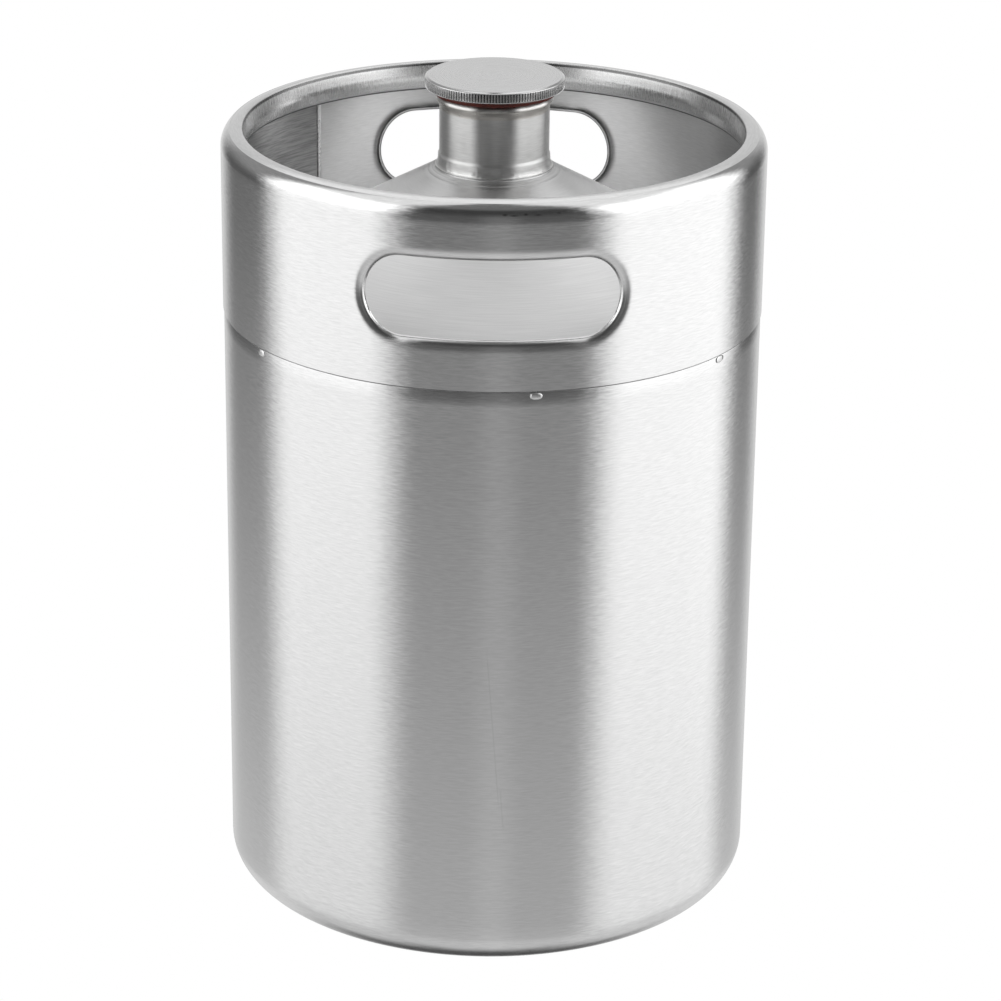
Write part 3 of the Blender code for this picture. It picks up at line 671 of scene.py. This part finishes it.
def makeNeck():
    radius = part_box("neck")[1].x - neck["baseFlare"]
    lip = radius + neck["lipFlare"]
    bore = radius - neck["wall"]
    base = radius + neck["baseFlare"]
    share = np.linspace(0, 1, 12)
    baseTop = neckBottom + neck["baseThickness"]
    # foot: a hollow quarter oval up to a ground-off shoulder; flare: grows with the square of the way up
    step = 0.35 * mm
    fillet = np.column_stack([
        base - (neck["baseFlare"] - step) * np.sin(share * math.pi / 2),
        baseTop + neck["filletHeight"] * (1 - np.cos(share * math.pi / 2)),
    ])
    easing = np.column_stack([
        radius + step * (1 + np.cos(math.pi * share)) / 2,
        baseTop + neck["filletHeight"] + 1.4 * mm * share,
    ])
    flareTop = neckTop - neck["lipDepth"]
    flare = np.column_stack([
        radius + neck["lipFlare"] * share ** 2,
        flareTop - neck["flareHeight"] * (1 - share),
    ])
    edge = neck["lipEdge"]
    outer = joined(
        line((base, neckBottom), (base, baseTop), 3), fillet, easing,
        line(easing[-1], flare[0], 8), flare, arc(lip - edge, neckTop - edge, edge, 0, 90, 6),
        line((lip - edge, neckTop), (bore + neck["chamfer"], neckTop), 3),
        line((bore + neck["chamfer"], neckTop), (bore, neckTop - neck["chamfer"]), 2),
    )
    section = joined(outer, line((bore, neckTop - neck["chamfer"]), (bore, neckBottom), 150), outer[:1])
    row = np.arange(len(section))[:, None]
    boreRows = (row >= len(outer) - 1) & (row < len(section) - 2)

    def threadInside(angle, height):
        return -ridgeHeight(angle, height, neckTop - thread["firstRidge"], 2.0) * boreRows

    material = steel("turned stainless steel, neck", neck["look"], neckMarks)
    newPiece("threaded_neck", [turnedGrid(section, neck["columns"], threadInside)], material, "keg",
             "neck")


welds = {
    "look": {"dark": "#C0C0C0", "light": "#D8D8D8", "roughness": 0.34, "roughSpread": 0.2, "anisotropy": 0.0,
             "radius": 86 * mm, "streakLength": 2 * mm, "streakWidth": 1 * mm, "combLength": 2 * mm,
             "comb": 0.15, "groove": 0.02 * mm, "blotch": 6 * mm, "blotchShade": 0.25},
    "ripple": 0.9 * mm,  # from one of the bead's waves to the next
    "rippleHeight": 0.05 * mm,
}


def weldRipple(radius, strength):
    # waves round a bead, their spacing drifting slowly
    waves = round(fullTurn * radius / welds["ripple"])

    def ripple(angle, level):
        return strength * np.sin(waves * angle + 2 * np.sin(3 * angle)) * np.ones_like(level)

    return ripple


def makeRingWelds(material, flush):
    # inside the collar: an oval bead between the can's lip and the shoulder's skirt
    low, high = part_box("shoulder_weld")
    turn = np.linspace(0, fullTurn, 17)
    section = np.column_stack([high.x - 0.45 * mm + 0.42 * mm * np.cos(turn),
                               (low.z + high.z) / 2 + 0.75 * mm * np.sin(turn)])
    grid = turnedGrid(section, 720, weldRipple(high.x, welds["rippleHeight"] / 2))
    newPiece("shoulder_bead", [grid], material, "keg", "shoulder_weld")
    # at the neck: ground flush, so the cone's slope runs on to a small hollow curve at the neck's foot
    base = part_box("neck")[1].x
    outerEnd = base + 2.3 * mm
    bendEnd = base + 0.55 * mm
    slope = line((outerEnd, shoulderHeight(outerEnd) + 0.02 * mm),
                 (bendEnd, shoulderHeight(bendEnd) + 0.06 * mm), 6)
    share = np.linspace(0, 1, 9)
    hollow = np.column_stack([bendEnd - (0.65 * mm) * np.sin(share * math.pi / 2),
                              slope[-1][1] + 0.3 * mm * share + 0.5 * mm * (1 - np.cos(share * math.pi / 2))])
    under = (hollow[-1][0], neckBottom + 0.1 * mm)
    section = joined([under], [(base + 1.4 * mm, under[1])], slope, hollow, [under])
    newPiece("neck_bead", [turnedGrid(section, 240)], flush, "keg", "neck_weld")


def makeSeamWeld(material):
    low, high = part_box("collar_seam_weld")
    wall = kegRadius - sheetThickness
    rows = np.linspace(low.z, high.z, 130)[:, None]
    turn = np.linspace(0, fullTurn, 17)[None, :]
    ripple = 1 + 0.04 * np.sin(rows / (0.25 * mm) + 2 * np.sin(rows / (3 * mm)))
    ends = np.sqrt(np.clip(np.minimum(rows - low.z, high.z - rows) / (1 * mm), 0, 1))
    across = 0.8 * mm * np.cos(turn) * ends * ripple
    depth = 0.05 * mm + 0.4 * mm * np.sin(turn) * ends * ripple
    angle = seamAngle + across / wall
    radius = wall - depth
    grid = np.stack([radius * np.sin(angle), -radius * np.cos(angle), rows + 0 * turn], axis=2)
    newPiece("seam_bead", [grid], material, "keg", "collar_seam_weld")


def makeTackWelds(material):
    tacks = sorted(name for name in frame["nodes"] if name.startswith("tack_weld_"))
    power = 2 / 2.6  # squareness: a superellipse of power 2.6
    up = np.radians(np.linspace(-90, 90, 25))[:, None]
    turn = np.linspace(0, fullTurn, 41)[None, :]
    cosUp = np.clip(np.cos(up), 0, 1) ** power
    cosUp[[0, -1]] = 0
    sinUp = np.sign(np.sin(up)) * np.abs(np.sin(up)) ** power
    sideways = np.sign(np.sin(turn)) * np.abs(np.sin(turn)) ** power
    outward = np.sign(np.cos(turn)) * np.abs(np.cos(turn)) ** power
    for number, node in enumerate(tacks):
        low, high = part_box(node)
        # a flattened ball with slow lumps that differ from tack to tack
        lump = 1 + (0.1 * np.sin(3 * turn + number) + 0.07 * np.sin(5 * turn + 2 * number)) * cosUp
        across = 2.05 * mm * sideways * cosUp * lump
        depth = -0.5 * mm * outward * cosUp
        rise = (high.z - low.z) / 2 * sinUp * (1 + 0.06 * np.sin(2 * turn + number) * cosUp)
        around = angleOf(node) + across / bodyRadius
        radius = bodyRadius - 0.1 * mm - depth
        grid = np.stack([radius * np.sin(around), -radius * np.cos(around), middleOf(node).z + rise], axis=2)
        grid[:, -1] = grid[:, 0]
        newPiece(node.replace("tack_weld", "tack"), [grid], material, "keg", node)


gasket = {
    "bulge": 0.25 * mm,
    "dark": "#4A1C15",
    "light": "#6E2C21",
}


def silicone():
    # Moulded silicone, translucent red-brown: soft sheen, faint mould bloom, no sharp highlights
    material, tree = newMaterial("moulded red-brown silicone")
    coords = add(tree, "TexCoord", give="Object")
    bloom = add(tree, "TexNoise", {"Vector": coords, "Scale": 900.0, "Detail": 4.0})
    even = add(tree, "MapRange", {"Value": bloom, "From Min": 0.35, "From Max": 0.65})
    shade = add(tree, "Mix", {0: even, 6: linear(gasket["dark"]), 7: linear(gasket["light"])}, give=2,
                data_type="RGBA")
    rough = add(tree, "MapRange", {"Value": bloom, "From Min": 0.3, "From Max": 0.7,
                "To Min": 0.38, "To Max": 0.5})
    normal = add(tree, "Bump", {"Strength": 0.3, "Distance": 0.02 * mm, "Height": bloom})
    shader = add(tree, "BsdfPrincipled", {"IOR": 1.41, "Subsurface Weight": 0.15,
                 "Subsurface Scale": 0.4 * mm,
                 "Subsurface Radius": (1.0, 0.3, 0.2), "Base Color": shade,
                 "Roughness": rough, "Normal": normal})
    add(tree, "OutputMaterial", {"Surface": shader})
    return material


def makeGasket():
    low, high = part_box("cap_gasket")
    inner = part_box("neck")[1].x - neck["baseFlare"] - neck["wall"] - thread["depth"]
    edge = high.x - gasket["bulge"]
    half = (high.z - low.z) / 2
    middle = (high.z + low.z) / 2
    # squeezed ring: flat faces, its outside swelling as half an oval
    turn = np.radians(np.linspace(-90, 90, 15))
    outside = np.column_stack([edge - 0.5 * mm + (gasket["bulge"] + 0.5 * mm) * np.cos(turn),
                               middle + half * np.sin(turn)])
    section = joined(line((inner, low.z), outside[0], 6), outside, line(outside[-1], (inner, high.z), 6),
                     line((inner, high.z), (inner, low.z), 4))
    newPiece("silicone_gasket", [turnedGrid(section, 160)], silicone(),
             "seal", "cap_gasket")


cap = {
    "teeth": 148,  # coarser than the real knurl, so that it shows
    "toothDepth": 0.35 * mm,
    "chamferHeight": 0.62 * mm,
    "chamferWidth": 0.72 * mm,
    "undercut": 0.08 * mm,
    "plainTop": 0.05 * mm,  # unknurled edge above the teeth
    "plainBottom": 0.05 * mm,
    "plugWall": 2.2 * mm,
    "look": {"dark": "#C9C9C9", "light": "#D3D3D3", "roughness": 0.14, "roughSpread": 0.08, "anisotropy": 0.3,
             "radius": 15 * mm, "streakLength": 9 * mm, "streakWidth": 0.3 * mm, "combLength": 12 * mm,
             "comb": 0.01, "groove": 0.001 * mm, "blotch": 15 * mm, "blotchShade": 0.05,
             "polish": [(268.9 * mm, 269.15 * mm, 0.27)]},
    # the dark colour in the teeth's grooves; its cause is a guess
    "grooveShade": "#4C4C4C",  # painted shade in the teeth's grooves
}


def capMarks(tree, coords, height, shade, rough, normal):
    # painted shade: below the teeth's crests the steel is darker, all the way round the band
    low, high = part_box("screw_cap")
    flat = add(tree, "VectorMath", {0: coords, 1: (1, 1, 0)}, operation="MULTIPLY")
    radius = add(tree, "VectorMath", {0: flat}, operation="LENGTH", give="Value")
    depth = add(tree, "MapRange", {"Value": radius, "From Min": high.x - 0.08 * mm,
                "From Max": high.x - 0.26 * mm})
    inBand = add(tree, "MapRange", {"Value": radius, "From Min": high.x - 0.5 * mm,
                 "From Max": high.x - 0.4 * mm})
    under = add(tree, "MapRange", {"Value": height, "From Min": high.z - 0.62 * mm,
                "From Max": high.z - 0.68 * mm})
    grooveShade = add(tree, "Math", {0: depth, 1: inBand}, operation="MULTIPLY")
    grooveShade = add(tree, "Math", {0: grooveShade, 1: under}, operation="MULTIPLY")
    shade = add(tree, "Mix", {0: grooveShade, 6: shade, 7: linear(cap["grooveShade"])}, give=2, data_type="RGBA")
    return shade, rough, normal


def makeCapDisc(material):
    low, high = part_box("screw_cap")
    radius = high.x
    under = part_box("cap_gasket")[1].z + 0.25 * mm
    bandTop = high.z - cap["chamferHeight"]
    bandBottom = under + cap["undercut"]
    top = bandTop - cap["plainTop"]
    bottom = bandBottom + cap["plainBottom"]
    runOut = 0.18 * mm
    section = joined(
        line((0, under), (radius - cap["undercut"], under), 6),
        line((radius - cap["undercut"], under), (radius, bandBottom), 3),
        line((radius, bandBottom), (radius, bottom), 2),
        line((radius, bottom), (radius, bottom + runOut), 4),
        line((radius, bottom + runOut), (radius, top - runOut), 4),
        line((radius, top - runOut), (radius, top), 4),
        line((radius, top), (radius, bandTop - 0.05 * mm), 2),
        arc(radius - 0.1 * mm, bandTop - 0.05 * mm, 0.1 * mm, 0, 45, 3),
        line((radius - 0.08 * mm, bandTop + 0.04 * mm),
             (radius - cap["chamferWidth"], high.z - 0.04 * mm), 4),
        line((radius - cap["chamferWidth"] - 0.06 * mm, high.z), (0, high.z), 7),
    )
    onBand = (np.abs(section[:, 0] - radius) < 0.001 * mm)[:, None]

    def knurl(angle, height):
        # each tooth's groove is a V between narrow crests, and runs out at the band's plain edges
        share = (angle * cap["teeth"] / fullTurn) % 1.0
        groove = np.clip(1.1 - np.abs(share - 0.5) / 0.2, 0, 1)
        depth = np.clip(np.minimum(height - bottom, top - height) / runOut, 0, 1)
        return -cap["toothDepth"] * groove * depth * onBand

    grid = turnedGrid(section, cap["teeth"] * 8, knurl)
    newPiece("cap_disc", [grid], material, "cap", "screw_cap", sharpAngle=25)


def makeCapPlug(material):
    low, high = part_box("screw_cap")
    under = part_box("cap_gasket")[1].z + 0.25 * mm
    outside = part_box("neck")[1].x - neck["baseFlare"] - neck["wall"] - thread["depth"] - 0.3 * mm
    hollow = outside - cap["plugWall"]
    top = under + 0.3 * mm
    edge = 0.3 * mm
    section = joined(line((hollow + edge, low.z), (outside - edge, low.z), 3),
                     line((outside - edge, low.z), (outside, low.z + edge), 3),
                     line((outside, low.z + edge), (outside, top), 110),
                     line((outside, top), (hollow, top), 3), line((hollow, top), (hollow, low.z + edge), 8),
                     line((hollow, low.z + edge), (hollow + edge, low.z), 2))
    onWall = (np.abs(section[:, 0] - outside) < 0.0001 * mm)[:, None]

    def threadOutside(angle, height):
        return ridgeHeight(angle, height, neckTop - thread["firstRidge"] + thread["pitch"] / 2, 1.75) * onWall

    newPiece("cap_plug", [turnedGrid(section, 160, threadOutside)], material, "cap", "screw_cap")


# Light from each direction, by elevation in degrees: a value that eases to the next at each step, for the
# dark side behind the camera and for each light; lights also have a middle, half width and softness round.
studio = {
    "around": (0.15, [(-68, -44, 1.15), (-33, -13.5, 0.17), (-8, 20, 0.45)]),
    "front": {"round": (0, 50, 12),
              "light": (0.2, [(-90, -66, 1.0), (-33, -13.5, 0.17), (6, 38, 0.08), (44, 62, 0.28)])},
    "stripe": {"round": (3, 7, 6),
               "light": (0.2, [(-90, -66, 1.1), (-33, -13.5, 0.28), (6, 38, 0.08), (44, 62, 0.28)])},
    "left": {"round": (-74, 31.5, 11),
             "light": (0.2, [(-85, -55, 1.0), (-34, -18, 1.9), (-2, 8, 3.0), (34, 52, 1.5)])},
    "right": {"round": (84, 37, 11),
              "light": (0.2, [(-85, -55, 1.15), (-34, -18, 2.05), (-2, 8, 3.0), (34, 52, 1.5)])},
    "back": {"round": (180, 28, 12), "light": (0.12, [(-60, -40, 1.0)])},
    "overhead": 1.55,  # a soft sheet of light from high behind down to the back
    "overheadEdge": (0.3, 0.42),  # where it starts, front to back
    "overheadFoot": (24, 42),
    "overheadSide": (0.42, 0.58),  # and how far it reaches left and right
}


def makeStudio():
    world = bpy.data.worlds.new("studio")
    bpy.context.scene.world = world
    world.use_nodes = True
    tree = world.node_tree
    tree.nodes.clear()
    parts = add(tree, "SeparateXYZ", {0: add(tree, "TexCoord", give="Generated")}).node.outputs
    back = add(tree, "Math", {0: parts["Y"], 1: -1.0}, operation="MULTIPLY")
    angle = add(tree, "Math", {0: parts["X"], 1: back}, operation="ARCTAN2")
    angle = add(tree, "Math", {0: angle}, operation="DEGREES")
    rise = add(tree, "Math", {0: add(tree, "Math", {0: parts["Z"]}, operation="ARCSINE")},
               operation="DEGREES")
    level = stepped(tree, rise, *studio["around"])
    for name in ("front", "stripe", "left", "right", "back"):
        centre, halfWidth, softness = studio[name]["round"]
        light = stepped(tree, rise, *studio[name]["light"])
        # distance in degrees from the light's middle, the short way round
        distance = add(tree, "Math", {0: angle, 1: centre}, operation="SUBTRACT")
        distance = add(tree, "Math", {0: distance, 1: 180.0}, operation="PINGPONG")
        level = add(tree, "MapRange", {"Value": distance, "From Min": halfWidth - softness,
                    "From Max": halfWidth + softness, "To Min": light, "To Max": level},
                    interpolation_type="SMOOTHSTEP")
    low, high = studio["overheadFoot"]
    share = add(tree, "MapRange", {"Value": rise, "From Min": low, "From Max": high},
                interpolation_type="SMOOTHSTEP")
    low, high = studio["overheadEdge"]
    behind = add(tree, "MapRange", {"Value": parts["Y"], "From Min": low, "From Max": high},
                 interpolation_type="SMOOTHSTEP")
    share = add(tree, "Math", {0: share, 1: behind}, operation="MULTIPLY")
    low, high = studio["overheadSide"]
    share = add(tree, "MapRange", {"Value": add(tree, "Math", {0: parts["X"]}, operation="ABSOLUTE"),
                "From Min": low, "From Max": high, "To Min": share, "To Max": 0.0},
                interpolation_type="SMOOTHSTEP")
    level = add(tree, "Mix", {"Factor": share, 2: level, 3: studio["overhead"]})
    light = add(tree, "Background", {"Strength": level})
    add(tree, "OutputWorld", {"Surface": light})


def makeFloor():
    # a plain white floor that gives off its own light, so no shadow shows on it
    side = 6.0
    mesh = bpy.data.meshes.new("floor")
    mesh.from_pydata([(-side, -side, 0), (side, -side, 0), (side, side, 0), (-side, side, 0)],
                     [], [(0, 1, 2, 3)])
    floor = bpy.data.objects.new("floor", mesh)
    bpy.context.scene.collection.objects.link(floor)
    material, tree = newMaterial("white paper")
    add(tree, "OutputMaterial", {"Surface":
        add(tree, "Emission", {"Color": linear("#FFFFFF"), "Strength": 1.0})})
    mesh.materials.append(material)
    floor.visible_glossy = False
    floor.visible_diffuse = False


def makeCamera():
    camera = bpy.data.objects.new("camera", bpy.data.cameras.new("camera"))
    camera.data.lens = 131.97
    camera.data.sensor_width = 36.0
    place = Matrix.Translation((0.0, -1.1162, 0.567))
    turn = Matrix.Rotation(-0.003, 4, "Z") @ Matrix.Rotation(math.pi / 2 - 0.3763, 4, "X")
    camera.matrix_world = place @ turn @ Matrix.Rotation(0.0122, 4, "Z")
    bpy.context.scene.collection.objects.link(camera)
    bpy.context.scene.camera = camera
    bpy.context.scene.view_settings.view_transform = "Standard"


makeCamera()
makeFloor()
makeStudio()
print("studio set")
makeCan()
makeShoulder()
makeCollar()
print("sheet pieces made")
makeNeck()
weldSteel = steel("weld bead, fused stainless steel", welds["look"])
makeRingWelds(weldSteel, steel("weld ground flush, stainless steel", shoulder["look"], shoulderMarks))
makeSeamWeld(weldSteel)
makeTackWelds(weldSteel)
print("neck and welds made")
makeGasket()
capSteel = steel("turned stainless steel, cap", cap["look"], capMarks)
makeCapDisc(capSteel)
makeCapPlug(capSteel)
print("cap made")
